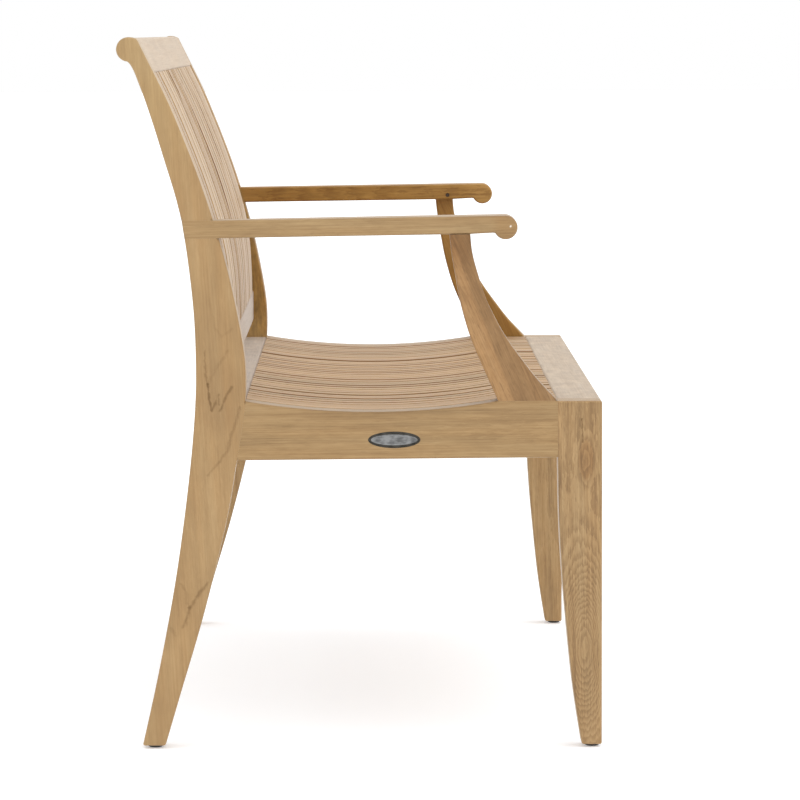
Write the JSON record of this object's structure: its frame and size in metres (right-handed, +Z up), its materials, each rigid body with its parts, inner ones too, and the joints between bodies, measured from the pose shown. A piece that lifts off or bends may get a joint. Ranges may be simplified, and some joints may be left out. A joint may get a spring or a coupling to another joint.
{
  "type": "garden bench",
  "caption": "Slatted teak garden bench with a dished seat, a curved raked back, a scrolled head rail, scrolled arms on swept posts and tapered legs.",
  "frame": {"origin": "on the ground under the middle of the bench", "axes": "+X along the bench to the sitter's left, -Y to the front, +Z up"},
  "size_m": [1.2204, 0.62, 0.915],
  "materials": {
    "teak_frame": "sanded unfinished teak, warm straw brown with darker streaks",
    "teak_post": "sanded unfinished teak heartwood, redder and darker",
    "teak_rail": "sanded unfinished teak, pale",
    "teak_slats": "sanded unfinished teak, colour changing from slat to slat",
    "glide": "black moulded nylon",
    "badge_plate": "plain satin pewter-coloured plate with a dark raised rim"
  },
  "bodies": {
    "root": {"rear_leg_right": "teak_frame", "front_leg_right": "teak_frame", "side_apron_right": "teak_frame", "arm_right": "teak_frame", "arm_post_right": "teak_post", "arm_pin_right": "teak_post", "front_foot_glide_right": "glide", "rear_foot_glide_right": "glide", "rear_leg_left": "teak_frame", "front_leg_left": "teak_frame", "side_apron_left": "teak_frame", "arm_left": "teak_frame", "arm_post_left": "teak_post", "arm_pin_left": "teak_post", "front_foot_glide_left": "glide", "rear_foot_glide_left": "glide", "front_seat_rail": "teak_rail", "rear_seat_rail": "teak_rail", "seat_brace": "teak_frame", "lower_back_rail": "teak_rail", "head_rail": "teak_rail", "badge": "badge_plate", "seat_slats_01": "teak_slats", "back_slats_01": "teak_slats", "seat_slats_02": "teak_slats", "back_slats_02": "teak_slats", "seat_slats_03": "teak_slats", "back_slats_03": "teak_slats", "seat_slats_04": "teak_slats", "back_slats_04": "teak_slats", "seat_slats_05": "teak_slats", "back_slats_05": "teak_slats", "seat_slats_06": "teak_slats", "back_slats_06": "teak_slats", "seat_slats_07": "teak_slats", "back_slats_07": "teak_slats", "seat_slats_08": "teak_slats", "back_slats_08": "teak_slats", "seat_slats_09": "teak_slats", "back_slats_09": "teak_slats", "seat_slats_10": "teak_slats", "back_slats_10": "teak_slats", "seat_slats_11": "teak_slats", "back_slats_11": "teak_slats", "seat_slats_12": "teak_slats", "back_slats_12": "teak_slats"}
  },
  "joints": []
}
